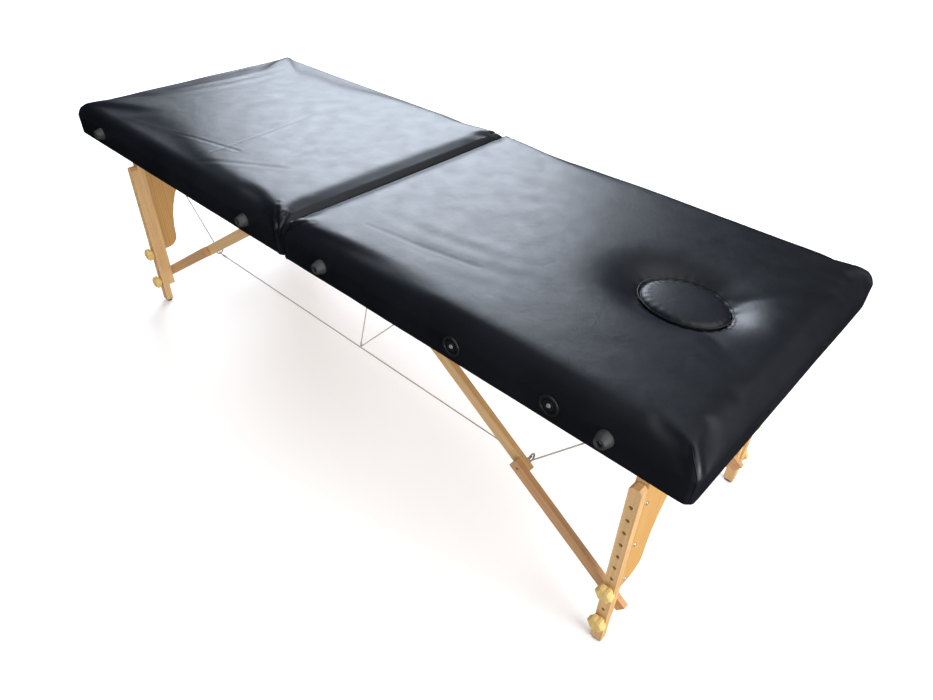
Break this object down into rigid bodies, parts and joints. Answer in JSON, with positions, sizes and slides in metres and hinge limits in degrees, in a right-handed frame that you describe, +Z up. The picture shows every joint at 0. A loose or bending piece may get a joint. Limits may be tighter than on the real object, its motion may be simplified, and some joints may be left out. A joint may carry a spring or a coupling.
{
  "type": "folding massage table",
  "caption": "Two-section folding massage table with padded top, face hole and plug, height-adjustable wooden legs, folding struts and side cables.",
  "frame": {"origin": "on the floor under the middle of the table, centre of the four feet", "axes": "+X along the table to the head end with the face hole, +Y across it, +Z up; the viewer's near side is -Y"},
  "size_m": [1.86, 0.7, 0.634],
  "materials": {
    "leather": "soft sheen, fine grain",
    "foam": "matt open-cell",
    "beech": "satin lacquer",
    "plywood": "satin lacquer",
    "steel": "zinc plated",
    "black_rubber": "matt",
    "black_plastic": "matt",
    "knob_wood": "clear lacquer",
    "cable": "steel strand in clear sleeve"
  },
  "bodies": {
    "left_half": {"left_rail_near": "beech", "left_rail_far": "beech", "left_rail_end": "beech", "left_rail_fold": "beech", "left_deck": "plywood", "left_foam": "foam", "left_cover": "leather", "left_strut_batten": "beech", "left_leg_rod": "steel", "left_hinge_leaf_near": "steel", "left_hinge_leaf_far": "steel", "hinge_pin_near": "steel", "cable_near": "cable", "hinge_pin_far": "steel", "cable_far": "cable"},
    "right_half": {"right_rail_near": "beech", "right_rail_far": "beech", "right_rail_end": "beech", "right_rail_fold": "beech", "right_deck": "plywood", "right_foam": "foam", "right_cover": "leather", "right_strut_batten": "beech", "right_leg_rod": "steel", "right_hinge_leaf_near": "steel", "right_hinge_leaf_far": "steel", "head_socket_near": "black_plastic", "head_socket_far": "black_plastic"},
    "face_plug": {"face_plug": "leather"},
    "left_legs": {"left_leg_panel": "plywood", "left_inner_leg_near": "beech", "left_inner_leg_far": "beech"},
    "left_upper_struts": {"left_upper_strut_near": "beech", "left_upper_strut_far": "beech"},
    "left_lower_struts": {"left_lower_strut_near": "beech", "left_lower_strut_far": "beech"},
    "left_outer_leg_near": {"left_outer_leg_near": "beech", "left_foot_near": "black_rubber"},
    "left_knob_near_upper": {"left_knob_near_upper": "knob_wood"},
    "left_knob_near_lower": {"left_knob_near_lower": "knob_wood"},
    "left_outer_leg_far": {"left_outer_leg_far": "beech", "left_foot_far": "black_rubber"},
    "left_knob_far_upper": {"left_knob_far_upper": "knob_wood"},
    "left_knob_far_lower": {"left_knob_far_lower": "knob_wood"},
    "right_legs": {"right_leg_panel": "plywood", "right_inner_leg_near": "beech", "right_inner_leg_far": "beech"},
    "right_upper_struts": {"right_upper_strut_near": "beech", "right_upper_strut_far": "beech"},
    "right_lower_struts": {"right_lower_strut_near": "beech", "right_lower_strut_far": "beech"},
    "right_outer_leg_near": {"right_outer_leg_near": "beech", "right_foot_near": "black_rubber"},
    "right_knob_near_upper": {"right_knob_near_upper": "knob_wood"},
    "right_knob_near_lower": {"right_knob_near_lower": "knob_wood"},
    "right_outer_leg_far": {"right_outer_leg_far": "beech", "right_foot_far": "black_rubber"},
    "right_knob_far_upper": {"right_knob_far_upper": "knob_wood"},
    "right_knob_far_lower": {"right_knob_far_lower": "knob_wood"}
  },
  "joints": [
    {"name": "table_fold", "type": "hinge", "parent": "left_half", "child": "right_half", "pos_m": [0, 0, 0.539], "axis": [0, 1, 0], "range_deg": [0, 100], "deforming": ["cable_near", "cable_far"]},
    {"name": "plug_lift", "type": "slide", "parent": "right_half", "child": "face_plug", "axis": [0, 0, 1], "range_m": [0, 0.12]},
    {"name": "left_leg_fold", "type": "hinge", "parent": "left_half", "child": "left_legs", "pos_m": [-0.8255, 0, 0.5615], "axis": [0, -1, 0], "range_deg": [0, 75], "deforming": ["cable_near", "cable_far"]},
    {"name": "left_upper_strut_turn", "type": "hinge", "parent": "left_half", "child": "left_upper_struts", "pos_m": [-0.121, 0, 0.5665], "axis": [0, -1, 0], "range_deg": [-30.95, 0]},
    {"name": "left_lower_strut_turn", "type": "hinge", "parent": "left_legs", "child": "left_lower_struts", "pos_m": [-0.8205, 0, 0.1], "axis": [0, -1, 0], "range_deg": [0, 53.05]},
    {"name": "left_height_near", "type": "slide", "parent": "left_legs", "child": "left_outer_leg_near", "axis": [0, 0, 1], "range_m": [-0.1968, 0]},
    {"name": "left_knob_near_upper_turn", "type": "hinge", "parent": "left_legs", "child": "left_knob_near_upper", "pos_m": [-0.828, -0.2928, 0.1724], "axis": [0, -1, 0], "continuous": true},
    {"name": "left_knob_near_lower_turn", "type": "hinge", "parent": "left_legs", "child": "left_knob_near_lower", "pos_m": [-0.828, -0.2928, 0.074], "axis": [0, -1, 0], "continuous": true},
    {"name": "left_height_far", "type": "slide", "parent": "left_legs", "child": "left_outer_leg_far", "axis": [0, 0, 1], "range_m": [-0.1968, 0]},
    {"name": "left_knob_far_upper_turn", "type": "hinge", "parent": "left_legs", "child": "left_knob_far_upper", "pos_m": [-0.828, 0.2928, 0.1724], "axis": [0, 1, 0], "continuous": true},
    {"name": "left_knob_far_lower_turn", "type": "hinge", "parent": "left_legs", "child": "left_knob_far_lower", "pos_m": [-0.828, 0.2928, 0.074], "axis": [0, 1, 0], "continuous": true},
    {"name": "right_leg_fold", "type": "hinge", "parent": "right_half", "child": "right_legs", "pos_m": [0.8255, 0, 0.5615], "axis": [0, 1, 0], "range_deg": [0, 75], "deforming": ["cable_near", "cable_far"]},
    {"name": "right_upper_strut_turn", "type": "hinge", "parent": "right_half", "child": "right_upper_struts", "pos_m": [0.121, 0, 0.5665], "axis": [0, 1, 0], "range_deg": [-30.95, 0]},
    {"name": "right_lower_strut_turn", "type": "hinge", "parent": "right_legs", "child": "right_lower_struts", "pos_m": [0.8205, 0, 0.1], "axis": [0, 1, 0], "range_deg": [0, 53.05]},
    {"name": "right_height_near", "type": "slide", "parent": "right_legs", "child": "right_outer_leg_near", "axis": [0, 0, 1], "range_m": [-0.1968, 0]},
    {"name": "right_knob_near_upper_turn", "type": "hinge", "parent": "right_legs", "child": "right_knob_near_upper", "pos_m": [0.828, -0.2928, 0.1724], "axis": [0, -1, 0], "continuous": true},
    {"name": "right_knob_near_lower_turn", "type": "hinge", "parent": "right_legs", "child": "right_knob_near_lower", "pos_m": [0.828, -0.2928, 0.074], "axis": [0, -1, 0], "continuous": true},
    {"name": "right_height_far", "type": "slide", "parent": "right_legs", "child": "right_outer_leg_far", "axis": [0, 0, 1], "range_m": [-0.1968, 0]},
    {"name": "right_knob_far_upper_turn", "type": "hinge", "parent": "right_legs", "child": "right_knob_far_upper", "pos_m": [0.828, 0.2928, 0.1724], "axis": [0, 1, 0], "continuous": true},
    {"name": "right_knob_far_lower_turn", "type": "hinge", "parent": "right_legs", "child": "right_knob_far_lower", "pos_m": [0.828, 0.2928, 0.074], "axis": [0, 1, 0], "continuous": true}
  ],
  "couplings": [
    {"joint": "left_upper_strut_turn", "follows": "left_leg_fold", "ratio": -0.41267},
    {"joint": "left_lower_strut_turn", "follows": "left_leg_fold", "ratio": 0.70728},
    {"joint": "right_upper_strut_turn", "follows": "right_leg_fold", "ratio": -0.41267},
    {"joint": "right_lower_strut_turn", "follows": "right_leg_fold", "ratio": 0.70728}
  ]
}
